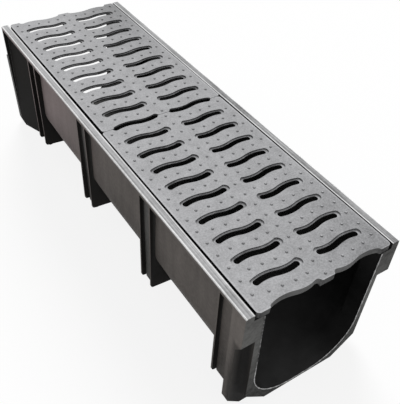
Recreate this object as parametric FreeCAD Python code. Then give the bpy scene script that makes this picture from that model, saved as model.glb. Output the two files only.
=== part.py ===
import FreeCAD, Part
import math
import os

# Moulded channel drain with two drop-in grates.
# Frame: X across the channel, Y along it (spigot end at -Y), Z up.
# The origin is at the centre of the footprint, on the ground.  Millimetres.

V = FreeCAD.Vector

# ---- driving dimensions: channel body ---------------------------------------
channel_length = 1000.0      # end face to end face, without the socket cheeks
channel_width = 314.8        # over the two rails
channel_height = 282.0       # ground to the top of the rails
wall = 4.0                   # moulded wall
rail_width = 16.2            # top land beside the grates
rail_depth = 7.5             # height of the rail's outer edge
rail_edge_radius = 2.0       # rounding of the rail's outer top edge

ledge_width = 19.7           # ledge beside the waterway that carries the grates
waterway_draft = 2.0         # degrees, lean of the waterway's sides at the ends
bottom_radius = 94.0         # waterway's bottom corners
floor_height = 6.0           # waterway floor above the ground
flare_angle = 23.0           # degrees, lean of the bay walls above the round bottom
bend_radius = 50.0           # bay wall, from upright to leaning
seat_thickness = 8.0         # the same ledge, top to bottom

# ---- driving dimensions: ends -----------------------------------------------
spigot_length = 15.6         # lip that enters the next channel's socket
spigot_step = 26.4           # from the rail's side in to the lip's side
spigot_side_draft = 1.3      # degrees
spigot_foot_height = 42.0    # where the lip's side meets its corner chamfer
spigot_base_half_width = 80.0
block_height = 73.0          # end block under the rails, over the lip
block_slope = 20.0           # how far its underside runs down towards the collar
recess_radius = 12.0         # hollow between lip and collar

collar_length = 17.4
collar_draft = 4.6           # how far the collar's sides lean in, top to chamfer
collar_chamfer_width = 28.5
collar_chamfer_height = 28.5

rear_frame_length = 64.0     # thick part of the socket end, with its end plate
rear_draft = 9.9             # the same leans and chamfers at the socket end
rear_chamfer_width = 5.0
rear_chamfer_height = 15.0
end_plate_thickness = 4.0    # plate that carries the socket cheeks
socket_reach = 10.0          # cheeks past the end face
socket_clearance = 2.0       # between a cheek and the next channel's lip
cheek_drop = 8.0             # cheeks stay this far under the next end block

# ---- driving dimensions: ribs -----------------------------------------------
rib_thickness = 4.0
rib_bottom = 52.0            # height of the ribs' lower edge, at its inner end
rib_bottom_rise = 5.0        # how far that edge rises towards its outer end
rib_edge_draft = 3.4         # how far a rib's outer edge leans in, top to bottom
rib_corner_radius = 6.0
front_rib_place = 65.5       # single rib behind the front collar
first_pair_place = 278.0
pair_pitch = 260.0
pair_count = 3
pair_spacing = 36.0          # between the two ribs of one pair
web_setback = 8.5            # web between ribs, behind their outer edges
web_draft = 4.9              # how far a web leans in, top to bottom
web_thickness = 7.0

# ---- driving dimensions: grates ---------------------------------------------
grate_thickness = 12.0
grate_drop = 0.5             # grate top under the rail top
grate_side_gap = 3.3
seam_gap = 1.0               # between the two grates, half of it at each channel end
grate_corner_radius = 7.0
front_grate_shift = 0.9      # the grates lie a little to the right in their pocket
rear_grate_shift = 1.9
front_grate_turn = 0.18      # degrees, the grates lie slightly askew
rear_grate_turn = 0.2

slot_rows = 10               # pitches along one grate
slot_inner = 13.4            # slot's inner end, from the grate's centre line
slot_margin = 23.9           # from the slot's outer end to the grate's side
slot_wave = 2.85             # sideways swing of the slot
slot_rim_width = 17.2        # step round the slot
slot_rim_depth = 2.8
slot_rim_bulge = 5.5         # roundness of the step's ends
slot_hole_width = 11.2
slot_end_ledge = 5.4         # step's ledge at the slot's ends
end_slot_width = 14.0        # half slots in the grate's ends
tab_radius = 3.0             # corners of the tabs between the half slots

plate_thickness = 5.0        # grate above the hollows in its underside
cross_rib_thickness = 4.0    # between two hollows
edge_rib_thickness = 6.0
spine_width = 24.0           # rib under the grate's centre line
spine_depth = 6.0

stud_sides = 10              # low studs that stop feet slipping
stud_radius = 3.1
stud_top_radius = 1.6
stud_height = 1.6
stud_columns = 4             # studs between two slots, on each side
stud_inner_margin = 10.8     # from the slot's inner end to the first column
stud_outer_margin = 16.3     # from the last column to the slot's outer end
stud_swing = 2.0             # studs between slots follow a shallow wave
stud_line_pitch = 30.0
centre_line_start = 9.0
edge_line_start = 33.7
edge_line_inset = 14.3       # edge studs, from the grate's side

# ---- values worked out from the ones above ----------------------------------
y_front = -(channel_length + socket_reach) / 2
y_end = y_front + channel_length
half_width = channel_width / 2
pocket_half_width = half_width - rail_width
opening_half_width = pocket_half_width - ledge_width
spigot_half_width = half_width - spigot_step
pocket_depth = grate_thickness + grate_drop
seat_z = channel_height - pocket_depth
rail_bottom = channel_height - rail_depth

bottom_z = floor_height + bottom_radius
lean = math.radians(waterway_draft)
corner_x = (opening_half_width - (seat_z - bottom_z) * math.tan(lean)
            - bottom_radius / math.cos(lean))

block_bottom = channel_height - block_height
y_lip_end = y_front + spigot_length
y_collar_end = y_lip_end + collar_length
y_rear_frame = y_end - rear_frame_length
y_last_rib = (y_front + first_pair_place + pair_pitch * (pair_count - 1)
              + pair_spacing)

grate_length = channel_length / 2 - seam_gap
grate_half_width = pocket_half_width - grate_side_gap
slot_pitch = (grate_length + seam_gap) / slot_rows
slot_outer = grate_half_width - slot_margin
wave_start = slot_inner + slot_rim_width / 2
wave_end = slot_outer - slot_rim_width / 2


# ---- small helpers ----------------------------------------------------------
def arc(a, b, c):
    """Circular edge from a to c through b."""
    return Part.Arc(a, b, c).toShape()


def line(a, b):
    return Part.LineSegment(a, b).toShape()


def mirrored(shape):
    """Copy on the other side of the channel's middle plane."""
    return shape.mirror(V(0, 0, 0), V(1, 0, 0))


def prism_along_y(outline, y0, y1):
    """Solid from (x, z) points, extruded from y0 to y1."""
    points = [V(x, y0, z) for x, z in outline]
    face = Part.Face(Part.makePolygon(points + points[:1]))
    return face.extrude(V(0, y1 - y0, 0))


def symmetric_prism(half_outline, y0, y1):
    """Solid whose right half is given from top to bottom as (x, z) points."""
    left = [(-x, z) for x, z in reversed(half_outline)]
    return prism_along_y(half_outline + left, y0, y1)


def box(x0, x1, y0, y1, z0, z1):
    return Part.makeBox(x1 - x0, y1 - y0, z1 - z0, V(x0, y0, z0))


def side_line_x(z, offset, angle):
    """X at height z of a wall that leaves the round bottom corner at an angle."""
    reach = bottom_radius + offset + (z - bottom_z) * math.sin(angle)
    return corner_x + reach / math.cos(angle)


def corner_point(radius, angle, y):
    """Point of the right bottom corner; angle 0 is level, 90 degrees is straight down."""
    return V(corner_x + radius * math.cos(angle), y, bottom_z - radius * math.sin(angle))


def flip(p):
    return V(-p.x, p.y, p.z)


def section_solid(upper, angle, offset, y0, y1):
    """Solid with a round bottom; upper holds the edges of the right side, top first."""
    radius = bottom_radius + offset
    start = corner_point(radius, angle, y0)
    middle = corner_point(radius, (angle + math.pi / 2) / 2, y0)
    low = corner_point(radius, math.pi / 2, y0)
    right = [(kind, list(points)) for kind, points in upper]
    right.append((arc, [start, middle, low]))
    left = [(kind, [flip(p) for p in reversed(points)]) for kind, points in reversed(right)]
    first = right[0][1][0]
    edges = [kind(*points) for kind, points in right]
    edges.append(line(low, flip(low)))
    edges += [kind(*points) for kind, points in left]
    edges.append(line(flip(first), first))
    return Part.Face(Part.Wire(edges)).extrude(V(0, y1 - y0, 0))


def narrow_section(offset, top, y0, y1):
    """U with almost upright sides: the waterway at the ends (offset 0) or its outside."""
    start = corner_point(bottom_radius + offset, lean, y0)
    side = (line, [V(side_line_x(top, offset, lean), y0, top), start])
    return section_solid([side], lean, offset, y0, y1)


def wide_section(offset, top_points, y0, y1):
    """U of the bays: upright walls that lean in to the round bottom."""
    angle = math.radians(flare_angle)
    x_wall = pocket_half_width + offset
    radius = bend_radius + offset
    reach = (x_wall - corner_x) * math.cos(angle) - (bottom_radius + offset)
    z_bend = bottom_z + reach / math.sin(angle)
    tangent = radius * math.tan(angle / 2)
    bend_top = V(x_wall, y0, z_bend + tangent)
    bend_mid = V(x_wall - radius * (1 - math.cos(angle / 2)), y0,
                 z_bend + tangent - radius * math.sin(angle / 2))
    bend_low = V(x_wall - tangent * math.sin(angle), y0, z_bend - tangent * math.cos(angle))
    start = corner_point(bottom_radius + offset, angle, y0)
    corners = [V(x, y0, z) for x, z in top_points] + [bend_top]
    upper = [(line, [a, b]) for a, b in zip(corners, corners[1:])]
    upper.append((arc, [bend_top, bend_mid, bend_low]))
    upper.append((line, [bend_low, start]))
    return section_solid(upper, angle, offset, y0, y1)


# ---- channel body -----------------------------------------------------------
def spigot_outline(clearance):
    """Right half of the lip's outline, top first."""
    top = spigot_half_width + clearance
    drop = (block_bottom - spigot_foot_height) * math.tan(math.radians(spigot_side_draft))
    return [(top, block_bottom), (top - drop, spigot_foot_height),
            (spigot_base_half_width + clearance, 0.0)]


def end_outline(top, draft, chamfer_width, chamfer_height):
    """Right half of the outline of an end collar, top first."""
    height = channel_height - chamfer_height
    x_foot = half_width - draft
    x_top = x_foot + draft * (top - chamfer_height) / height
    return [(x_top, top), (x_foot, chamfer_height), (x_foot - chamfer_width, 0.0)]


def rear_outline(top):
    return end_outline(top, rear_draft, rear_chamfer_width, rear_chamfer_height)


def front_end():
    """Lip, end block above it and the collar behind."""
    lip = symmetric_prism(spigot_outline(0.0), y_front, y_lip_end)
    profile = [V(-half_width, y_front, channel_height), V(-half_width, y_lip_end, channel_height),
               V(-half_width, y_lip_end, block_bottom - block_slope),
               V(-half_width, y_front, block_bottom)]
    block_side = Part.Face(Part.makePolygon(profile + profile[:1]))
    block = block_side.extrude(V(channel_width, 0, 0))
    outline = end_outline(channel_height, collar_draft, collar_chamfer_width,
                          collar_chamfer_height)
    collar = symmetric_prism(outline, y_lip_end, y_collar_end)
    return [lip, block, collar] + recess_hollows()


def recess_hollows():
    """Hollow quarter rounds between the lip's sides and the collar."""
    foot = spigot_outline(0.0)[1]
    top = spigot_outline(0.0)[0]
    pieces = []
    for x, z in (top, foot):
        corner = V(x, y_lip_end, z)
        toward_edge = corner + V(recess_radius, 0, 0)
        toward_front = corner - V(0, recess_radius, 0)
        diagonal = recess_radius * (1 - math.sqrt(0.5))
        middle = corner + V(diagonal, -diagonal, 0)
        pieces.append(Part.Wire([line(corner, toward_edge), arc(toward_edge, middle, toward_front),
                                 line(toward_front, corner)]))
    hollow = Part.makeLoft(pieces, True, True)
    return [hollow, mirrored(hollow)]


def rear_end():
    """Socket end: a frame that spreads from the waterway to its end plate, with two cheeks."""
    frame = symmetric_prism(rear_outline(channel_height), y_rear_frame, y_end)
    wall_x = opening_half_width + wall
    y_plate = y_end - end_plate_thickness
    plan = [V(wall_x, y_rear_frame, 0), V(half_width, y_rear_frame, 0),
            V(half_width, y_plate, 0), V(half_width - rear_draft, y_plate, 0)]
    wedge = Part.Face(Part.makePolygon(plan + plan[:1])).extrude(V(0, 0, rail_bottom))
    frame = frame.cut([wedge, mirrored(wedge)])
    cheeks = symmetric_prism(rear_outline(block_bottom - cheek_drop), y_end, y_end + socket_reach)
    next_lip = symmetric_prism(spigot_outline(socket_clearance), y_end, y_end + socket_reach)
    return [frame, cheeks.cut(next_lip)]


def rib(y):
    """One rib plate on the right side, lower outer corner rounded."""
    r = rib_corner_radius
    x_low = half_width - rib_edge_draft
    z_low = rib_bottom + rib_bottom_rise
    inner = corner_x + bottom_radius / 2
    a = V(half_width, y, rail_bottom)
    b = V(x_low, y, z_low + r)
    c = V(x_low - r, y, z_low)
    round_mid = V(x_low - r * (1 - math.sqrt(0.5)), y, z_low + r * (1 - math.sqrt(0.5)))
    d = V(inner, y, rib_bottom)
    e = V(inner, y, rail_bottom)
    outline = Part.Wire([line(a, b), arc(b, round_mid, c), line(c, d), line(d, e), line(e, a)])
    return Part.Face(outline).extrude(V(0, rib_thickness, 0))


def web(y0, y1):
    """Set-back plate between two ribs on the right side."""
    top = half_width - web_setback
    low = top - web_draft
    outline = [(top, rail_bottom), (low, rib_bottom),
               (low - web_thickness, rib_bottom), (top - web_thickness, rail_bottom)]
    return prism_along_y(outline, y0, y1)


def side_ribs():
    """Ribs and webs of the right side, from the front collar to the last pair."""
    y_single = y_front + front_rib_place
    pieces = [rib(y_single), web(y_collar_end, y_single)]
    for i in range(pair_count):
        y = y_front + first_pair_place + i * pair_pitch
        pieces += [rib(y), rib(y + pair_spacing), web(y + rib_thickness, y + pair_spacing)]
    return pieces


def channel_body():
    rail = box(-half_width, half_width, y_front, y_end, rail_bottom, channel_height)
    outer_top = [(pocket_half_width + wall, rail_bottom)]
    y_bays_end = y_last_rib + rib_thickness
    bays = wide_section(wall, outer_top, y_lip_end, y_bays_end)
    seat_bottom = seat_z - seat_thickness
    rear_bay = narrow_section(wall, seat_z, y_bays_end, y_end)
    rear_seat = box(-pocket_half_width - wall, pocket_half_width + wall,
                    y_bays_end, y_end, seat_bottom, channel_height)
    ribs = side_ribs()
    ribs += [mirrored(piece) for piece in ribs]
    body = rail.fuse([bays, rear_bay, rear_seat] + front_end() + rear_end() + ribs)

    pocket = box(-pocket_half_width, pocket_half_width,
                 y_front, y_end + socket_reach, seat_z, channel_height)
    waterway = narrow_section(0.0, seat_z, y_front, y_end + socket_reach)
    haunch = pocket_half_width - opening_half_width
    seat_edge = [(opening_half_width, seat_bottom),
                 (pocket_half_width, seat_bottom - haunch)]
    bay_cavity = wide_section(0.0, seat_edge, y_collar_end, y_last_rib)
    body = body.cut([pocket, waterway, bay_cavity]).removeSplitter()
    return round_rail_edges(body)


def round_rail_edges(body):
    """Round the outer top edge of both rails."""
    picked = []
    for edge in body.Edges:
        b = edge.BoundBox
        on_side = abs(abs(b.XMin) - half_width) < 0.01 and b.XLength < 0.01
        at_top = abs(b.ZMin - channel_height) < 0.01 and b.ZLength < 0.01
        if on_side and at_top:
            picked.append(edge)
    return body.makeFillet(rail_edge_radius, picked)


# ---- grates -----------------------------------------------------------------
def wave_band(width, reach, bulge, side):
    """Face in plan: a band along one wave, its ends reach past the wave and bulge out."""
    half_chord = (wave_end - wave_start) / 4
    radius = (half_chord ** 2 + slot_wave ** 2) / (2 * slot_wave)
    phi = math.asin(half_chord / radius)
    phi_end = math.asin((half_chord + reach) / radius)
    first = V(wave_start + half_chord, radius - slot_wave, 0)
    second = V(wave_end - half_chord, slot_wave - radius, 0)
    wide, tight = radius + width / 2, radius - width / 2

    def on_first(r, t):
        return first + V(r * math.sin(t), -r * math.cos(t), 0)

    def on_second(r, t):
        return second + V(r * math.sin(t), r * math.cos(t), 0)

    tip = V(math.cos(phi_end), -math.sin(phi_end), 0) * bulge
    inner_tip = on_first(radius, -phi_end) - tip
    outer_tip = on_second(radius, phi_end) + tip
    edges = [
        arc(on_first(wide, -phi_end), on_first(wide, 0), on_first(wide, phi)),
        arc(on_second(tight, -phi), on_second(tight, 0), on_second(tight, phi_end)),
        arc(on_second(tight, phi_end), outer_tip, on_second(wide, phi_end)),
        arc(on_second(wide, phi_end), on_second(wide, 0), on_second(wide, -phi)),
        arc(on_first(tight, phi), on_first(tight, 0), on_first(tight, -phi_end)),
        arc(on_first(tight, -phi_end), inner_tip, on_first(wide, -phi_end)),
    ]
    face = Part.Face(Part.Wire(edges))
    return face if side > 0 else mirrored(face)


def slot_tools():
    """Everything cut out of one grate: stepped slots, and half slots at both ends."""
    rim_reach = slot_rim_width / 2 - slot_rim_bulge
    hole_reach = (slot_rim_width - slot_hole_width) / 2 - slot_end_ledge
    end_reach = (slot_rim_width - end_slot_width) / 2
    tools = []
    for side in (-1, 1):
        rim = wave_band(slot_rim_width, rim_reach, slot_rim_bulge, side)
        hole = wave_band(slot_hole_width, hole_reach, slot_hole_width / 2, side)
        half_slot = wave_band(end_slot_width, end_reach, end_slot_width / 2, side)
        for row in range(1, slot_rows):
            y = row * slot_pitch - seam_gap / 2
            step = rim.translated(V(0, y, grate_thickness - slot_rim_depth))
            tools.append(step.extrude(V(0, 0, slot_rim_depth)))
            tools.append(hole.translated(V(0, y, 0)).extrude(V(0, 0, grate_thickness)))
        for y in (-seam_gap / 2, slot_rows * slot_pitch - seam_gap / 2):
            tools.append(half_slot.translated(V(0, y, 0)).extrude(V(0, 0, grate_thickness)))
    return tools


def underside_hollows():
    """Hollows under the slots, with ribs left between them and round the edge."""
    x0 = slot_inner
    x1 = grate_half_width - edge_rib_thickness
    reach = (slot_pitch - cross_rib_thickness) / 2
    depth = grate_thickness - plate_thickness
    tools = []
    for row in range(1, slot_rows):
        y = row * slot_pitch - seam_gap / 2
        tools.append(box(x0, x1, y - reach, y + reach, 0, depth))
        tools.append(box(-x1, -x0, y - reach, y + reach, 0, depth))
    return tools


def stud_places():
    """Stud centres in plan."""
    places = []
    edge_x = grate_half_width - edge_line_inset
    for x, start in ((0.0, centre_line_start), (-edge_x, edge_line_start), (edge_x, edge_line_start)):
        count = int((grate_length - start - stud_radius) // stud_line_pitch) + 1
        places += [(x, start + i * stud_line_pitch) for i in range(count)]
    first_column = slot_inner + stud_inner_margin
    last_column = slot_outer - stud_outer_margin
    column_pitch = (last_column - first_column) / (stud_columns - 1)
    wave_length = slot_outer - slot_inner
    for row in range(slot_rows):
        y = (row + 0.5) * slot_pitch - seam_gap / 2
        for i in range(stud_columns):
            x = first_column + i * column_pitch
            swing = stud_swing * math.cos(2 * math.pi * (x - last_column) / wave_length)
            places += [(x, y + swing), (-x, y + swing)]
    return places


def stud(x, y):
    """Low ten-sided stud, narrower at its top."""
    turns = [2 * math.pi * (k + 0.5) / stud_sides for k in range(stud_sides)]
    foot, top = [[V(x + radius * math.cos(turn), y + radius * math.sin(turn), z) for turn in turns]
                 for radius, z in ((stud_radius, grate_thickness),
                                   (stud_top_radius, grate_thickness + stud_height))]
    sides = [[foot[k - 1], foot[k], top[k], top[k - 1]] for k in range(stud_sides)]
    faces = [Part.Face(Part.makePolygon(ring + ring[:1])) for ring in [foot, top] + sides]
    return Part.Solid(Part.makeShell(faces))


def studs():
    """Studs on the grate's top."""
    return [stud(x, y) for x, y in stud_places()]


def rounded_corners(plate, radius, x_place):
    """Round the upright edges of the grate's ends that stand at x = +-x_place."""
    picked = []
    for edge in plate.Edges:
        b = edge.BoundBox
        upright = b.XLength < 0.01 and b.YLength < 0.01
        at_end = b.YMin < 0.01 or b.YMax > grate_length - 0.01
        if upright and at_end and abs(abs(b.XMin) - x_place) < 1.5:
            picked.append(edge)
    return plate.makeFillet(radius, picked)


def grate():
    """One grate, its near end at y = 0 and its underside at z = 0."""
    plate = box(-grate_half_width, grate_half_width, 0, grate_length, 0, grate_thickness)
    plate = rounded_corners(plate, grate_corner_radius, grate_half_width)
    plate = plate.cut(slot_tools() + underside_hollows())
    plate = rounded_corners(plate, tab_radius, slot_inner)
    plate = rounded_corners(plate, tab_radius, slot_outer)
    spine = box(-spine_width / 2, spine_width / 2, tab_radius, grate_length - tab_radius,
                -spine_depth, 0)
    return plate.fuse([spine] + studs()).removeSplitter()


def placed(shape, turn, x, y):
    """Copy of a grate laid on the seat, turned about its middle."""
    copy = shape.copy()
    copy.rotate(V(0, grate_length / 2, 0), V(0, 0, 1), turn)
    copy.translate(V(x, y, seat_z))
    return copy


def main():
    os.makedirs("parts", exist_ok=True)
    one_grate = grate()
    nodes = {
        "channel_body": channel_body(),
        "front_grate": placed(one_grate, front_grate_turn, front_grate_shift,
                              y_front + seam_gap / 2),
        "rear_grate": placed(one_grate, rear_grate_turn, rear_grate_shift,
                             y_front + (channel_length + seam_gap) / 2),
    }
    for name, shape in nodes.items():
        solids = len(shape.Solids)
        size = shape.BoundBox
        print(name, "solids", solids, "valid", shape.isValid(),
              "volume", round(shape.Volume), "faces", len(shape.Faces),
              "box", [round(v, 2) for v in (size.XMin, size.XMax, size.YMin, size.YMax,
                                            size.ZMin, size.ZMax)])
        shape.exportStep(f"parts/{name}.step")


main()
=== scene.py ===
"""Finish and stage of a moulded channel drain with two drop-in grates.

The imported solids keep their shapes.  This file gives them their plastics, adds the
thin flash line round the front opening, and sets up the floor, the light and the camera.
Lengths are in metres: X across the channel, Y along it (spigot end at -Y), Z up.
"""
import math
from collections import namedtuple

import bpy
import numpy as np
from bpy.props import (FloatProperty, FloatVectorProperty, IntProperty,
                       PointerProperty)
from bpy.types import Operator, Panel, PropertyGroup
from mathutils import Matrix, Vector


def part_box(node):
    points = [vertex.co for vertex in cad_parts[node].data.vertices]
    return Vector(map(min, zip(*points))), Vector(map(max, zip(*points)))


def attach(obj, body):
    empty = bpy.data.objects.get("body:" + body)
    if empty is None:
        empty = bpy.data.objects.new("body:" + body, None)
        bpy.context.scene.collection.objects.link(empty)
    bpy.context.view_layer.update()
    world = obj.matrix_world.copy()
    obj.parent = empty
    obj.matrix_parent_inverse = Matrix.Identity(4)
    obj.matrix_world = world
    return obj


bl_info = {
    "name": "Channel drain",
    "version": (1, 0, 0),
    "blender": (4, 5, 0),
    "location": "View3D > Sidebar > Drain",
    "description": "Finishes a channel drain and its two grates, and stages them",
    "category": "Object",
}

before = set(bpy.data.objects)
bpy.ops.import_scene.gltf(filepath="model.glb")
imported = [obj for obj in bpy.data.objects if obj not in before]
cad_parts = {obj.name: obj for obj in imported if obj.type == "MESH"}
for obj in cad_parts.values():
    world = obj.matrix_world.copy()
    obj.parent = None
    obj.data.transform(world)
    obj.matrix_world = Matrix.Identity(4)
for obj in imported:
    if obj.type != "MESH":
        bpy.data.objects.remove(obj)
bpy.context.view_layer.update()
BODY_LOW, BODY_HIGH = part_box("channel_body")

Y_FRONT = BODY_LOW[1]        # end face of the spigot end
HALF_WIDTH = BODY_HIGH[0]    # middle to the outside of a rail
RAIL_TOP = BODY_HIGH[2]
WHITE = (1.0, 1.0, 1.0)


# ---- sizes and colours -------------------------------------------------------
def length_property(name, description, default):
    return FloatProperty(name=name, description=description, default=default,
                         min=0.0, unit="LENGTH", precision=5)


def angle_property(name, description, degrees):
    return FloatProperty(name=name, description=description, subtype="ANGLE",
                         default=math.radians(degrees))


def share_property(name, description, default):
    return FloatProperty(name=name, description=description, default=default,
                         min=0.0, max=1.0, subtype="FACTOR")


def colour_property(name, description, default):
    return FloatVectorProperty(name=name, description=description, default=default,
                               size=3, min=0.0, max=1.0, subtype="COLOR")


class DrainSizes(PropertyGroup):
    """Sizes that place the finishes on the channel and the grates."""
    rail_width: length_property("Rail width", "Top land beside the grates", 0.0162)
    rail_depth: length_property("Rail depth", "Height of the rail's outer edge", 0.0075)
    rail_length: length_property("Rail length", "Channel without its cheeks", 1.0)
    ledge_width: length_property("Ledge width", "Ledge that carries the grates", 0.0197)
    seat_depth: length_property("Seat depth", "Rail top down to the ledge", 0.0125)
    bottom_radius: length_property("Bottom radius", "Waterway's bottom corners", 0.094)
    floor_height: length_property("Floor height", "Waterway floor above ground", 0.006)
    waterway_lean: angle_property("Waterway lean", "Lean of the waterway's sides", 2.0)
    lip_length: length_property("Lip length", "Lip that enters a socket", 0.0156)
    collar_length: length_property("Collar length", "Collar behind the lip", 0.0174)
    block_height: length_property("Block height", "End block over the lip", 0.073)
    end_plate: length_property("End plate", "Plate at the socket end", 0.004)
    rib_thickness: length_property("Rib thickness", "One rib", 0.004)
    pair_count: IntProperty(name="Rib pairs", description="Pairs along one side",
                            default=3, min=1)
    pair_place: length_property("First rib pair", "From the spigot end", 0.278)
    pair_pitch: length_property("Pair pitch", "From one rib pair to the next", 0.260)
    pair_spacing: length_property("Pair spacing", "Between a pair's ribs", 0.036)
    grate_drop: length_property("Grate drop", "Grate top under the rail top", 0.0005)
    seam: length_property("Seam", "Between the grates, half of it at each end", 0.001)
    end_zone: length_property("End zone", "Grey zone at the grates' ends", 0.015)
    front_turn: angle_property("Front turn", "How askew the front grate lies", 0.18)
    rear_turn: angle_property("Rear turn", "How askew the rear grate lies", 0.20)
    slot_step: length_property("Slot step", "Depth of the step round a slot", 0.0028)
    stud_height: length_property("Stud height", "Studs above the grate's top", 0.0016)
    flash_radius: length_property("Flash radius", "Flash round the opening", 0.0008)
    flash_place: length_property("Flash place", "Flash's middle off the end face", 0.0002)


class DrainColours(PropertyGroup):
    """Colours of the plastics, of the dust on them, and of painted light and shade."""
    # painted light: the grates' top is paler than their plastic, as lit from above
    grate: colour_property("Grate", "Weathered top of the grates", (0.375, 0.377, 0.387))
    grate_end: colour_property("Grate ends", "End faces of the grates",
                               (0.27, 0.27, 0.27))
    # painted light: the rails' top is paler than their plastic, as lit from above
    rail: colour_property("Rail", "Weathered top of the rails", (0.425, 0.427, 0.433))
    # partly wear and partly a painted highlight; the flash takes this colour too
    edge: colour_property("Edge", "Rubbed edges of the rails", (0.85, 0.85, 0.85))
    side: colour_property("Side", "Dusty sides of the channel", (0.208, 0.188, 0.174))
    side_rear: colour_property("Rear side", "Redder dust near the socket end",
                               (0.224, 0.186, 0.183))
    # painted shade: near black for the ribs' end-on faces, the collar's front, the hollow
    # beside the lip and the socket bay
    painted_shade: colour_property("Rib", "Clean plastic of the ribs' faces", (0.016, 0.015, 0.014))
    inside: colour_property("Inside", "Inside of the channel", (0.034, 0.034, 0.034))
    # painted shade: black for the slots' walls and the grates' sides in the gaps beside the
    # rails
    gap_and_hole_shade: colour_property("Hole", "Walls of the slots", (0.010, 0.010, 0.010))
    block: colour_property("End block", "Front faces of the end", (0.198, 0.198, 0.192))


class DrainStage(PropertyGroup):
    """Light on the drain."""
    sky: share_property("Sky", "Light from all round", 0.46)
    key: FloatProperty(name="Key", description="Light from above and behind",
                       default=2.9, min=0.0)
    shadow: share_property("Shadow", "How strongly the floor shows the shadow", 0.14)


# ---- shader tools ------------------------------------------------------------
class Output:
    """A node's output socket.  Where it carries a number, operators add Math nodes."""

    def __init__(self, nodes, socket):
        self.nodes = nodes
        self.socket = socket

    def __add__(self, other):
        return self.nodes.math("ADD", self, other)

    __radd__ = __add__

    def __sub__(self, other):
        return self.nodes.math("SUBTRACT", self, other)

    def __rsub__(self, other):
        return self.nodes.math("SUBTRACT", other, self)

    def __mul__(self, other):
        return self.nodes.math("MULTIPLY", self, other)

    __rmul__ = __mul__

    def __abs__(self):
        return self.nodes.math("ABSOLUTE", self)

    def over(self, low):
        """The larger of this and another number."""
        return self.nodes.math("MAXIMUM", self, low)

    def under(self, high):
        """The smaller of this and another number."""
        return self.nodes.math("MINIMUM", self, high)

    def root(self):
        """The square root."""
        return self.nodes.math("SQRT", self)


class Nodes:
    """Node tree of a material or of the world, filled from nothing."""

    def __init__(self, tree):
        self.tree = tree
        self.tree.nodes.clear()

    def add(self, kind, settings, values, output=0):
        """Adds a node: its settings first, then the values or links of its sockets."""
        node = self.tree.nodes.new(kind)
        for key, setting in settings.items():
            setattr(node, key, setting)
        for key, value in values.items():
            socket = node.inputs[key]
            if isinstance(value, Output):
                self.tree.links.new(value.socket, socket)
            elif socket.type == "RGBA":
                socket.default_value = (*value, 1.0)
            else:
                socket.default_value = value
        return Output(self, node.outputs[output]) if node.outputs else node

    def math(self, operation, *values):
        """Adds a Math node for up to three numbers."""
        return self.add("ShaderNodeMath", {"operation": operation},
                        dict(enumerate(values)))


def new_material(name):
    material = bpy.data.materials.new(name)
    material.use_nodes = True
    return material


class Paint(Nodes):
    """Material of one piece, read in the object's own coordinates."""

    def __init__(self, name):
        self.material = new_material(name)
        super().__init__(self.material.node_tree)
        self.place = self.add("ShaderNodeTexCoord", {}, {}, "Object")
        self.facing = self.add("ShaderNodeTexCoord", {}, {}, "Normal")
        self.x = self.add("ShaderNodeSeparateXYZ", {}, {0: self.place}, 0)
        self.y = self.add("ShaderNodeSeparateXYZ", {}, {0: self.place}, 1)
        self.z = self.add("ShaderNodeSeparateXYZ", {}, {0: self.place}, 2)

    def rise(self, value, start, end):
        """0 below start, 1 above end, smooth between; end below start turns it round."""
        if end < start:
            return 1.0 - self.rise(value, end, start)
        return self.add("ShaderNodeMapRange", {"interpolation_type": "SMOOTHSTEP"},
                        {"Value": value, "From Min": start, "From Max": end})

    def noise(self, scale, detail=2.0, stretch=(1.0, 1.0, 1.0), rough=0.5):
        """Cloudy noise from -0.5 to 0.5; scale is in lumps per metre."""
        spread = self.add("ShaderNodeMapping", {}, {0: self.place, "Scale": stretch})
        return self.add("ShaderNodeTexNoise", {},
                        {"Vector": spread, "Scale": scale, "Detail": detail,
                         "Roughness": rough}) - 0.5

    def mix(self, mask, low, high):
        """Colour that goes from low to high as the mask goes from 0 to 1."""
        return self.add("ShaderNodeMix", {"data_type": "RGBA", "clamp_factor": True},
                        {0: mask, 6: low, 7: high}, 2)

    def scaled(self, colour, factor):
        """Colour made lighter or darker by a number."""
        return self.add("ShaderNodeVectorMath", {"operation": "SCALE"},
                        {0: colour, 3: factor})

    def faces(self, x, y, z):
        """How far the surface faces along a direction, -1 to 1."""
        return self.add("ShaderNodeVectorMath", {"operation": "DOT_PRODUCT"},
                        {0: self.facing, 1: (x, y, z)}, 1)

    def finish(self, colour, roughness, relief, depth, specular=0.12):
        """Joins colour, roughness and relief into the plastic's surface."""
        bump = self.add("ShaderNodeBump", {},
                        {"Height": relief, "Strength": 1.0, "Distance": depth})
        plastic = self.add("ShaderNodeBsdfPrincipled", {},
                           {"Base Color": colour, "Roughness": roughness,
                            "Specular IOR Level": specular, "Normal": bump})
        self.add("ShaderNodeOutputMaterial", {}, {"Surface": plastic})
        return self.material


def cover(node, material):
    """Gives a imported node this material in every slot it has."""
    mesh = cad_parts[node].data
    if not mesh.materials:
        mesh.materials.append(material)
    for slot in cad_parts[node].material_slots:
        slot.material = material


# ---- channel body ------------------------------------------------------------
Waterway = namedtuple("Waterway", "opening seat_z centre_x centre_z radius lean")


def waterway_section(sizes):
    """Half width and height at the ledge, bottom corner's centre and radius, and lean."""
    lean = sizes.waterway_lean
    opening = HALF_WIDTH - sizes.rail_width - sizes.ledge_width
    seat_z = RAIL_TOP - sizes.seat_depth
    centre_z = sizes.floor_height + sizes.bottom_radius
    centre_x = (opening - (seat_z - centre_z) * math.tan(lean)
                - sizes.bottom_radius / math.cos(lean))
    return Waterway(opening, seat_z, centre_x, centre_z, sizes.bottom_radius, lean)


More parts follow.
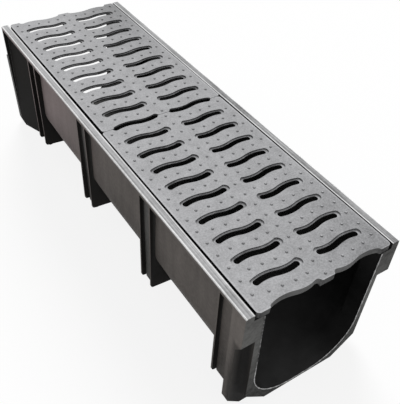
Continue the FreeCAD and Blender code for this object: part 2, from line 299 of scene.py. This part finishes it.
class BodyPaint(Paint):
    """Finishes of the channel body, from its dusty sides to its dark inside.  A method
    that is handed a colour lays its own finish over it."""

    def __init__(self, sizes, colours):
        super().__init__("body_plastic_weathered")
        self.sizes = sizes
        self.colours = colours
        self.side_x = abs(self.x)
        self.cloud = self.noise(9.0, 4.0, (1.0, 0.8, 1.4))
        self.blot = self.noise(48.0, 3.0)
        self.speck = self.noise(160.0, 3.0)
        self.grain = self.noise(900.0, 2.0)
        self.streak = self.noise(34.0, 3.0, (1.0, 1.0, 0.12))
        self.lines = self.noise(330.0, 3.0, (1.0, 0.012, 1.0), 0.65)
        self.wear = self.noise(30.0, 4.0, (1.0, 0.35, 1.0))

        # places
        self.pocket_x = HALF_WIDTH - sizes.rail_width
        self.rail_bottom = RAIL_TOP - sizes.rail_depth
        self.rail_end = Y_FRONT + sizes.rail_length
        self.block_bottom = RAIL_TOP - sizes.block_height
        self.lip_back = Y_FRONT + sizes.lip_length
        self.first_pair = Y_FRONT + sizes.pair_place
        self.last_pair = self.first_pair + (sizes.pair_count - 1) * sizes.pair_pitch
        collar_back = self.lip_back + sizes.collar_length

        # masks that several finishes share
        self.along = self.rise(self.y, -0.10, 0.24)
        self.high = self.rise(self.z, 0.11, 0.21)
        self.at_front = self.rise(self.y, collar_back + 0.003, collar_back - 0.003)
        self.end_on = self.rise(abs(self.faces(0.0, 1.0, 0.0)), 0.85, 0.95)
        self.ribs = self.end_on * (1.0 - self.at_front)
        self.before_last = self.rise(self.y, self.last_pair - 0.002, self.last_pair - 0.010)
        self.top = self.rise(self.z, RAIL_TOP - 0.0016, RAIL_TOP - 0.0006)

    def dusty_shaded_sides(self):
        """Cloudy dust, redder towards the socket end, and lighter towards that end and high
        up, partly from thicker dust and partly as painted light. The rail's outer face gets a
        painted highlight, and the collar's side is darkened near its front corner under the
        block as painted shade."""
        # lighter high up and towards the socket end: partly dust, partly painted light
        dust_and_light = (0.57 + self.high * 0.23) * (1.0 + self.along * (0.45 + self.high * 0.39))
        dust_and_light = dust_and_light + self.at_front * (self.high * 0.18 - 0.12 + self.streak * 1.1)
        # painted highlight on the rail's outer face
        edge = self.rise(self.z, self.rail_bottom - 0.0005, self.rail_bottom + 0.0005)
        dust_and_light = dust_and_light + edge * 0.08
        dust_and_light = dust_and_light + self.cloud * 0.70 + self.streak * 0.60 + self.speck * 0.45
        # painted shade on the collar's side near its front corner, under the block
        under = self.rise(self.z, self.block_bottom + 0.003, self.block_bottom - 0.007)
        corner = self.rise(self.y, self.lip_back + 0.0114, self.lip_back - 0.0006)
        dust_and_light = dust_and_light * (1.0 - under * corner * 0.55)
        dusty = self.mix(self.along, self.colours.side, self.colours.side_rear)
        return self.scaled(dusty, dust_and_light.over(0.1))

    def shaded_ribs(self, colour):
        """Ribs' end-on faces are painted near black as shade, lighter towards the socket end
        except in the last pair; near the wall the painted shade eases to grey.
        """
        tone = 1.0 + self.along * self.before_last * 1.2
        # painted shade on the ribs' end-on faces
        colour = self.mix(self.ribs, colour, self.scaled(self.colours.painted_shade, tone))
        # the painted shade eases to grey near the wall
        foot = self.rise(self.side_x, HALF_WIDTH - 0.0044, HALF_WIDTH - 0.0112)
        foot = foot * self.rise(self.z, 0.08, 0.25)
        return self.mix(self.ribs * foot * self.before_last * 0.50, colour,
                        self.scaled(self.colours.block, 0.6))

    def webs(self, colour):
        """Webs between two ribs are free of the red dust, and dark in the last pair.
        They are found by their distance from the first rib of their pair."""
        thickness, spacing = self.sizes.rib_thickness, self.sizes.pair_spacing
        reach = self.math("WRAP", self.y - self.first_pair, self.sizes.pair_pitch, 0.0)
        web = self.rise(reach, thickness - 0.0010, thickness + 0.0010) * (1.0 - self.ribs)
        web = web * self.rise(reach, spacing + 0.0005, spacing - 0.0005)
        web = web * self.rise(self.y, self.first_pair - 0.013, self.first_pair - 0.003)
        web = web * self.rise(self.z, RAIL_TOP - 0.012, RAIL_TOP - 0.014)
        tone = 0.56 + self.high * 0.28 + self.streak * 0.8 + self.speck * 0.5
        tone = tone * (0.25 + self.before_last * 0.75)
        return self.mix(web * 0.85, colour, self.scaled(self.colours.block, tone))

    def collar_front(self, colour):
        """Collar's front face is painted in shade, lighter at its outer edge and black
        further in, and the hollow between it and the lip goes from dusty to black painted
        shade."""
        # painted shade on the collar's front face, lighter towards its outer edge
        lit_edge = self.rise(self.side_x, HALF_WIDTH - 0.020, HALF_WIDTH + 0.002)
        face = self.end_on * self.at_front
        face = face * self.rise(self.y, Y_FRONT + 0.0006, Y_FRONT + 0.0012)
        colour = self.mix(face, colour, self.scaled(self.colours.painted_shade, 0.35 + lit_edge * 4.0))
        # painted shade in the hollow beside the lip
        hollow = self.rise(self.y, Y_FRONT - 0.0010, Y_FRONT + 0.0100) * self.at_front
        hollow = hollow * self.rise(self.side_x, HALF_WIDTH - 0.0200, HALF_WIDTH - 0.0210)
        hollow = hollow * self.rise(self.z, self.block_bottom + 0.001,
                                    self.block_bottom - 0.001)
        return self.mix(hollow * 0.99, colour, self.scaled(self.colours.painted_shade, 0.35))

    def end_faces(self, colour):
        """Lip and end blocks, darker towards the ground and on the right block."""
        above = self.rise(self.z, 0.195, 0.215)
        right = self.rise(self.x, 0.02, 0.12)
        tone = 0.28 + self.rise(self.z, 0.03, 0.19) * 0.62 + right * (0.04 - above * 0.32)
        tone = (tone + self.blot * 0.8 + self.speck * 0.8).over(0.1)
        face = self.end_on * self.rise(self.y, Y_FRONT + 0.0012, Y_FRONT + 0.0006)
        return self.mix(face, colour, self.scaled(self.colours.block, tone))

    def socket_bay(self, colour):
        """Bay in front of the socket end painted near black as deep shade, and the dusty edge
        of its plate.
        """
        last_rib_back = self.last_pair + self.sizes.pair_spacing + self.sizes.rib_thickness
        plate_front = self.rail_end - self.sizes.end_plate
        # painted shade over the deep bay
        bay = self.rise(self.y, last_rib_back + 0.001, last_rib_back + 0.004)
        bay = bay * self.rise(self.z, self.rail_bottom + 0.0005, self.rail_bottom - 0.0005)
        tone = 0.85 + self.high * 0.3 + self.cloud * 0.8 + self.speck * 0.6
        colour = self.mix(bay, colour, self.scaled(self.colours.painted_shade, tone))
        plate = bay * self.rise(self.y, plate_front - 0.0012, plate_front - 0.0002)
        plate = plate * self.rise(abs(self.faces(1.0, 0.0, 0.0)), 0.6, 0.8)
        tone = 0.85 + self.cloud * 0.8 + self.speck * 0.8
        return self.mix(plate, colour, self.scaled(self.colours.block, tone))

    def rails(self, colour):
        """Rail tops painted pale as lit from above, darker on the right, with fine lines, and
        edges lighter partly from wear and partly as a painted highlight.
        """
        tone = 0.91 + self.lines * 1.8 + self.wear * 0.9 + self.speck * 0.5
        shade = 0.24 + self.rise(self.y, -0.38, -0.50) * 0.16
        tone = tone - self.rise(self.x, -0.05, 0.05) * shade
        # painted light: the pale rail colour on the tops
        colour = self.mix(self.top, colour, self.scaled(self.colours.rail, tone))
        # wear and painted highlight on the rails' outer and inner edges
        outer = self.rise(self.side_x, HALF_WIDTH - 0.0032, HALF_WIDTH - 0.0022)
        outer = outer * self.rise(self.z, RAIL_TOP - 0.0024, RAIL_TOP - 0.0016)
        inner = self.rise(self.side_x, self.pocket_x + 0.0034, self.pocket_x + 0.0016)
        rubbed_and_highlit = (outer + inner * self.top * 0.80).under(1.0)
        tone = (0.99 + self.wear * 0.9 + self.speck * 0.6).under(1.1)
        return self.mix(rubbed_and_highlit, colour, self.scaled(self.colours.edge, tone))

    def waterway_distance(self):
        """Distance outside the waterway: that of a round corner, with sides above it
        that lean out."""
        section = waterway_section(self.sizes)
        up = (self.z - section.centre_z).over(0.0)
        down = (section.centre_z - self.z).over(0.0)
        across = (self.side_x - section.centre_x - up * math.tan(section.lean)).over(0.0)
        return (across * across + down * down).root() - section.radius

    def within(self):
        """Mask of the waterway, the pocket under the grates and faces turned inwards; these
        inward faces include the rails' walls in the gaps beside the grates, darkened as
        painted shade.
        """
        seat_z = RAIL_TOP - self.sizes.seat_depth
        inside = self.rise(self.waterway_distance(), 0.0010, 0.0004)
        # painted shade on the rails' inner walls in the gaps beside the grates
        inward = self.rise(self.faces(-1.0, 0.0, 0.0) * self.math("SIGN", self.x), 0.02, 0.08)
        inward = inward * self.rise(self.y, self.rail_end - 0.0004, self.rail_end - 0.0010)
        inward = inward * self.rise(self.z, RAIL_TOP - 0.0016, RAIL_TOP - 0.0024)
        sunk = self.rise(self.side_x, self.pocket_x + 0.0006, self.pocket_x + 0.0002)
        sunk = sunk * self.rise(self.z, seat_z - 0.0010, seat_z - 0.0004)
        return (inside + sunk + inward).under(1.0) * self.rise(self.z, 0.0040, 0.0048)

    def inside(self, colour, mask):
        """Dark inside, darker near the mouth and right, with dust on the mouth's floor."""
        tone = 0.85 + self.rise(self.y, -0.47, -0.30) * 0.9
        tone = tone - self.rise(self.x, 0.06, 0.11) * 0.40
        floor = self.rise(self.z, 0.050, 0.012) * self.rise(self.y, -0.30, -0.40)
        tone = tone + floor * self.rise(self.x, 0.09, 0.02) * 0.70
        tone = (tone + self.cloud * 1.6 + self.streak * 0.8).over(0.1)
        return self.mix(mask, colour, self.scaled(self.colours.inside, tone))


def body_material(sizes, colours):
    """Dusty dark sides with painted light and shade, rail tops painted pale as lit from above
    with worn and highlighted edges, dark inside.
    """
    paint = BodyPaint(sizes, colours)
    colour = paint.dusty_shaded_sides()
    colour = paint.shaded_ribs(colour)
    colour = paint.webs(colour)
    colour = paint.collar_front(colour)
    colour = paint.end_faces(colour)
    colour = paint.socket_bay(colour)
    colour = paint.rails(colour)
    within = paint.within()
    colour = paint.inside(colour, within)
    relief = paint.speck * 0.55 + paint.grain * 0.35 + paint.lines * paint.top * 0.9
    rough = 0.68 + paint.cloud * 0.16 + paint.speck * 0.12 - within * 0.08
    return paint.finish(colour, rough, relief, 0.00030)


class DRAIN_OT_body(Operator):
    """Give the channel body its dusty moulded plastic, with painted light and shade"""
    bl_idname = "drain.body"
    bl_label = "Channel body"

    def execute(self, context):
        scene = context.scene
        cover("channel_body", body_material(scene.drain_sizes, scene.drain_colours))
        return {"FINISHED"}


# ---- grates ------------------------------------------------------------------
GrateSeat = namedtuple("GrateSeat", "x y turn half_width")


def grate_seat(node, turn):
    """How a grate sits: its middle, its turn and half its own width, from its box."""
    low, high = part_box(node)
    half_length = (high[1] - low[1]) / 2
    half_width = (high[0] - low[0]) / 2 - half_length * math.sin(turn)
    return GrateSeat((low[0] + high[0]) / 2, (low[1] + high[1]) / 2, turn, half_width)


class GratePaint(Paint):
    """Finishes of one grate, from its weathered top to its studs.  A method that is
    handed a colour lays its own finish over it."""

    def __init__(self, name, sizes, colours, seat):
        super().__init__(name)
        self.colours = colours
        self.half_width = seat.half_width
        self.cloud = self.noise(11.0, 4.0, (1.0, 0.7, 1.0))
        self.blot = self.noise(52.0, 3.0)
        self.speck = self.noise(340.0, 3.0)
        self.grain = self.noise(1100.0, 2.0)
        self.top_z = RAIL_TOP - sizes.grate_drop
        self.ledge_z = self.top_z - sizes.slot_step
        self.stud_z = self.top_z + sizes.stud_height
        self.end_y = -Y_FRONT - sizes.seam / 2
        self.zone_y = self.end_y - sizes.end_zone
        self.below = self.rise(self.z, self.top_z - 0.0003, self.top_z - 0.0006)
        self.side = abs((self.x - seat.x) + (self.y - seat.y) * math.tan(seat.turn))
        self.along = abs(self.y)

    def lit_weathered_top(self):
        """Faintly mottled grey, painted pale as lit from above, darker at the right-hand
        ends, with painted highlights along the side edges and the ends.
        """
        corner = self.rise(self.y, -0.26, -0.52) * 0.26
        tone = 1.0 - self.rise(self.y, -0.4, 0.5) * 0.07
        tone = tone - self.rise(self.x, -0.10, 0.15) * (0.09 + corner)
        tone = tone - self.rise(self.x, -0.03, 0.14) * self.rise(self.y, 0.10, 0.55) * 0.36
        tone = tone + self.cloud * 0.30 + self.blot * 0.40
        tone = tone + self.speck * 0.85 + self.grain * 0.50
        # painted highlight along the grate's side edges and its ends
        rim_highlight = self.rise(self.side, self.half_width - 0.0042, self.half_width - 0.0018)
        rim_highlight = rim_highlight.over(self.rise(self.along, self.end_y - 0.0025, self.end_y - 0.0011))
        # painted light: the pale grate colour on the top
        return self.scaled(self.colours.grate, tone + rim_highlight * 0.24)

    def slots(self, colour):
        """Wall of the step round a slot, darkened as painted shade; its ledge, patchy with
        painted glints; and the slot's walls, painted black as shade.
        """
        grey = self.colours.grate
        # painted shade on the step wall round each slot
        colour = self.mix(self.below, colour, self.scaled(grey, 0.22 + self.speck * 0.4))
        # painted glints in patches on the ledge
        tone = 0.62 + self.rise(self.y, 0.15, -0.45) * 0.36
        tone = (tone + self.blot * 1.8 + self.speck * 0.6).over(0.2)
        ledge = self.rise(self.z, self.ledge_z + 0.0006, self.ledge_z + 0.0003)
        colour = self.mix(ledge, colour, self.scaled(grey, tone))
        # painted shade on the slot's walls
        wall = self.rise(self.z, self.ledge_z - 0.0001, self.ledge_z - 0.0005)
        return self.mix(wall, colour, self.colours.gap_and_hole_shade)

    def outer_faces(self, colour):
        """End faces are grey, darkest on the tabs, and faces beside the rails are painted
        black as shade in the narrow gaps.
        """
        upright = self.rise(abs(self.faces(0.0, 0.0, 1.0)), 0.6, 0.3) * self.below
        tab = self.rise(self.along, self.end_y - 0.0009, self.end_y - 0.0003)
        tone = (0.66 - tab * 0.26 + self.blot * 0.9).over(0.1)
        at_end = self.rise(self.along, self.zone_y - 0.0005, self.zone_y)
        colour = self.mix(upright * at_end, colour,
                          self.scaled(self.colours.grate_end, tone))
        # painted shade on the grate's sides in the gaps beside the rails
        beside = self.rise(self.side, self.half_width - 0.0004, self.half_width - 0.0001)
        return self.mix(upright * beside, colour, self.colours.gap_and_hole_shade)

    def studs(self, colour):
        """Studs, a little grimy all over, and darker as painted shade on their slopes facing
        left and towards the spigot end; those at the right of that end get a painted
        highlight on top."""
        foot = self.rise(self.z, self.top_z + 0.0001, self.top_z + 0.0002)
        slope = foot * self.rise(self.z, self.stud_z - 0.00005, self.stud_z - 0.0002)
        # painted shade on the slopes facing left and towards the spigot end
        shaded_side = self.rise(self.faces(-0.70, -0.72, 0.0), -0.10, 0.45)
        colour = self.scaled(colour, 1.0 - foot * 0.17 - slope * shaded_side * 0.12)
        # painted highlight on the tops of the studs at the right of the spigot end
        stud_highlight = foot * self.rise(self.z, self.stud_z - 0.0004, self.stud_z - 0.0001)
        stud_highlight = stud_highlight * self.rise(self.x, -0.01, 0.07) * self.rise(self.y, -0.15, -0.40)
        return self.scaled(colour, 1.0 + stud_highlight * 0.75)


def grate_material(name, sizes, colours, seat):
    """Matte weathered top painted pale as lit from above, slots and gaps painted dark as
    shade, grey ends, and studs with grime, painted shade and painted highlights.
    """
    paint = GratePaint(name, sizes, colours, seat)
    colour = paint.lit_weathered_top()
    colour = paint.slots(colour)
    colour = paint.outer_faces(colour)
    colour = paint.studs(colour)
    relief = paint.speck * 0.6 + paint.grain * 0.5 + paint.blot * 0.6
    rough = 0.66 + paint.cloud * 0.14 + paint.speck * 0.12
    return paint.finish(colour, rough, relief, 0.00022, 0.2)


class DRAIN_OT_grates(Operator):
    """Give both grates their weathered plastic, with painted light and shade"""
    bl_idname = "drain.grates"
    bl_label = "Grates"

    def execute(self, context):
        sizes, colours = context.scene.drain_sizes, context.scene.drain_colours
        for node, turn in (("front_grate", sizes.front_turn),
                           ("rear_grate", sizes.rear_turn)):
            seat = grate_seat(node, turn)
            cover(node, grate_material(node + "_plastic", sizes, colours, seat))
        return {"FINISHED"}


# ---- flash round the front opening ---------------------------------------------
def opening_outline(sizes, clear=0.012, side_steps=28, corner_steps=60, floor_steps=14):
    """Points round the waterway's end: a leaning side, a quarter round corner, the floor,
    and both mirrored.  A share of each side just under the ledge is left clear."""
    section = waterway_section(sizes)
    turn = np.linspace(-section.lean, math.pi / 2, corner_steps)
    corner = np.stack([section.centre_x + section.radius * np.cos(turn),
                       section.centre_z - section.radius * np.sin(turn)], axis=1)
    ledge = np.array((section.opening, section.seat_z))
    share = np.linspace(clear, 1.0, side_steps)[:-1, None]
    half = np.concatenate([ledge + share * (corner[0] - ledge), corner])
    other = half[::-1] * (-1.0, 1.0)
    floor = np.linspace(half[-1], other[0], floor_steps)[1:-1]
    return np.concatenate([half, floor, other])


def flash_mesh(sizes, sides=8):
    """A thin bead along the opening's edge: a ring of radius r, made thicker and
    thinner by a sum of sines, is carried along the outline at the end face."""
    path = opening_outline(sizes)
    count = len(path)
    run = np.linalg.norm(np.diff(path, axis=0), axis=1)
    place = np.concatenate([[0.0], np.cumsum(run)])
    ahead = np.gradient(path, axis=0)
    ahead /= np.linalg.norm(ahead, axis=1, keepdims=True)
    out = np.stack([-ahead[:, 1], ahead[:, 0]], axis=1)
    swell = 1.0
    for height, waves, start in ((0.30, 310.0, 0.0), (0.22, 773.0, 1.0),
                                 (0.16, 1490.0, 2.0)):
        swell = swell + height * np.sin(place * waves + start)
    radius = sizes.flash_radius * swell
    angle = np.linspace(0.0, 2.0 * math.pi, sides, endpoint=False)
    sideways = radius[:, None] * np.cos(angle)[None, :]
    forward = radius[:, None] * np.sin(angle)[None, :]
    x = path[:, None, 0] + out[:, None, 0] * sideways
    z = path[:, None, 1] + out[:, None, 1] * sideways
    y = Y_FRONT - sizes.flash_place + forward
    ring = np.stack([x, y, z], axis=2).reshape(-1, 3)
    i, j = np.meshgrid(np.arange(count - 1), np.arange(sides), indexing="ij")
    k = (j + 1) % sides
    quads = np.stack([i * sides + j, (i + 1) * sides + j,
                      (i + 1) * sides + k, i * sides + k], axis=2).reshape(-1, 4)
    ends = [list(range(sides)), list(range((count - 1) * sides, count * sides))[::-1]]
    mesh = bpy.data.meshes.new("opening_flash")
    mesh.from_pydata(ring.tolist(), [], quads.tolist() + ends)
    mesh.update()
    return mesh


def flash_material(colours):
    """Pale broken plastic with a painted highlight, uneven along the bead; the highlight
    fades out high on the left.
    """
    paint = Paint("flash_plastic")
    blot = paint.noise(140.0, 3.0)
    grain = paint.noise(800.0, 2.0)
    # painted highlight on the bead, faded out high on the left
    highlight_fade = paint.rise(paint.z, 0.105, 0.135) * paint.rise(paint.x, 0.03, -0.03)
    tone = (1.0 + blot * 1.9 + grain * 0.5 - highlight_fade * 0.75).over(0.12).under(1.1)
    colour = paint.scaled(colours.edge, tone)
    return paint.finish(colour, 0.55 + grain * 0.3, grain * 0.8, 0.0002)


class DRAIN_OT_flash(Operator):
    """Add the thin flash left round the edge of the front opening"""
    bl_idname = "drain.flash"
    bl_label = "Opening flash"

    def execute(self, context):
        scene = context.scene
        piece = bpy.data.objects.new("opening_flash", flash_mesh(scene.drain_sizes))
        scene.collection.objects.link(piece)
        piece.data.materials.append(flash_material(scene.drain_colours))
        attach(piece, "root")
        return {"FINISHED"}


# ---- stage ---------------------------------------------------------------------
def floor_material(shadow):
    """White floor: the camera and reflections see white with a light shadow, and the
    drain gets the light of a pale grey floor."""
    material = new_material("floor_white")
    nodes = Nodes(material.node_tree)
    seen = sum(nodes.add("ShaderNodeLightPath", {}, {}, ray)
               for ray in ("Is Camera Ray", "Is Glossy Ray", "Is Transmission Ray"))
    lit = nodes.add("ShaderNodeBsdfDiffuse", {}, {"Color": (0.98, 0.98, 0.98)})
    pale = nodes.add("ShaderNodeBsdfDiffuse", {}, {"Color": (0.45, 0.45, 0.45)})
    white = nodes.add("ShaderNodeEmission", {}, {"Color": WHITE, "Strength": 1.0})
    shown = nodes.add("ShaderNodeMixShader", {}, {0: shadow, 1: white, 2: lit})
    both = nodes.add("ShaderNodeMixShader", {}, {0: seen.under(1.0), 1: pale, 2: shown})
    nodes.add("ShaderNodeOutputMaterial", {}, {"Surface": both})
    return material


def add_floor(scene, shadow, half_side=3.0, drop=0.0002, steps=5):
    """A flat square grid, a small drop under the body's lowest point."""
    reach = np.linspace(-half_side, half_side, steps)
    x, y = np.meshgrid(reach, reach, indexing="ij")
    points = np.stack([x, y, np.full_like(x, BODY_LOW[2] - drop)], axis=2)
    i, j = np.meshgrid(np.arange(steps - 1), np.arange(steps - 1), indexing="ij")
    first = i * steps + j
    quads = np.stack([first, first + steps, first + steps + 1, first + 1], axis=2)
    mesh = bpy.data.meshes.new("floor")
    mesh.from_pydata(points.reshape(-1, 3).tolist(), [], quads.reshape(-1, 4).tolist())
    floor = bpy.data.objects.new("floor", mesh)
    floor.data.materials.append(floor_material(shadow))
    scene.collection.objects.link(floor)


def add_world(scene, sky):
    """Even light from all round that the camera sees as white."""
    world = bpy.data.worlds.new("studio")
    world.use_nodes = True
    nodes = Nodes(world.node_tree)
    seen = nodes.add("ShaderNodeLightPath", {}, {}, "Is Camera Ray")
    plain = nodes.add("ShaderNodeBackground", {}, {"Color": WHITE, "Strength": sky})
    white = nodes.add("ShaderNodeBackground", {}, {"Color": WHITE, "Strength": 1.0})
    both = nodes.add("ShaderNodeMixShader", {}, {0: seen, 1: plain, 2: white})
    nodes.add("ShaderNodeOutputWorld", {}, {"Surface": both})
    scene.world = world


def add_key(scene, strength):
    """Soft light from above and behind."""
    direction = Vector((-0.42, -0.82, -0.68))
    lamp = bpy.data.lights.new("key", "SUN")
    lamp.energy = strength
    lamp.angle = 0.5
    key = bpy.data.objects.new("key", lamp)
    key.rotation_euler = direction.to_track_quat("-Z", "Y").to_euler()
    scene.collection.objects.link(key)


def add_camera(scene):
    """Camera over the spigot end, turned towards the drain's far right."""
    place = Vector((-0.5251, -0.8762, 0.9795))
    right = Vector((0.83656417, -0.54494239, 0.05655237))
    up = Vector((0.335721, 0.591461, 0.733121))
    back = Vector((-0.43295713, -0.59431685, 0.67774302))
    lens = bpy.data.cameras.new("camera")
    lens.lens = 53.48
    lens.sensor_width = 36.0
    lens.clip_end = 50.0
    camera = bpy.data.objects.new("camera", lens)
    shaded_side = Matrix((right, up, back)).transposed()
    camera.matrix_world = Matrix.Translation(place) @ shaded_side.to_4x4()
    scene.collection.objects.link(camera)
    scene.camera = camera


class DRAIN_OT_stage(Operator):
    """Set up the floor, the light and the camera"""
    bl_idname = "drain.stage"
    bl_label = "Stage"

    def execute(self, context):
        scene = context.scene
        add_floor(scene, scene.drain_stage.shadow)
        add_world(scene, scene.drain_stage.sky)
        add_key(scene, scene.drain_stage.key)
        add_camera(scene)
        scene.view_settings.view_transform = "Standard"
        return {"FINISHED"}


# ---- panel and registration ------------------------------------------------------
class DRAIN_PT_panel(Panel):
    """Sizes, colours and steps of the channel drain"""
    bl_idname = "DRAIN_PT_panel"
    bl_label = "Channel drain"
    bl_space_type = "VIEW_3D"
    bl_region_type = "UI"
    bl_category = "Drain"

    def draw(self, context):
        for group in (context.scene.drain_sizes, context.scene.drain_colours,
                      context.scene.drain_stage):
            column = self.layout.column()
            for name in group.__annotations__:
                column.prop(group, name)
        for operator in OPERATORS:
            self.layout.operator(operator.bl_idname)


OPERATORS = (DRAIN_OT_body, DRAIN_OT_grates, DRAIN_OT_flash, DRAIN_OT_stage)
CLASSES = (DrainSizes, DrainColours, DrainStage, *OPERATORS, DRAIN_PT_panel)


def register():
    for item in CLASSES:
        bpy.utils.register_class(item)
    bpy.types.Scene.drain_sizes = PointerProperty(type=DrainSizes)
    bpy.types.Scene.drain_colours = PointerProperty(type=DrainColours)
    bpy.types.Scene.drain_stage = PointerProperty(type=DrainStage)


def unregister():
    del bpy.types.Scene.drain_stage
    del bpy.types.Scene.drain_colours
    del bpy.types.Scene.drain_sizes
    for item in reversed(CLASSES):
        bpy.utils.unregister_class(item)


def main():
    register()
    bpy.ops.drain.body()
    bpy.ops.drain.grates()
    bpy.ops.drain.flash()
    bpy.ops.drain.stage()


if __name__ == "__main__":
    main()
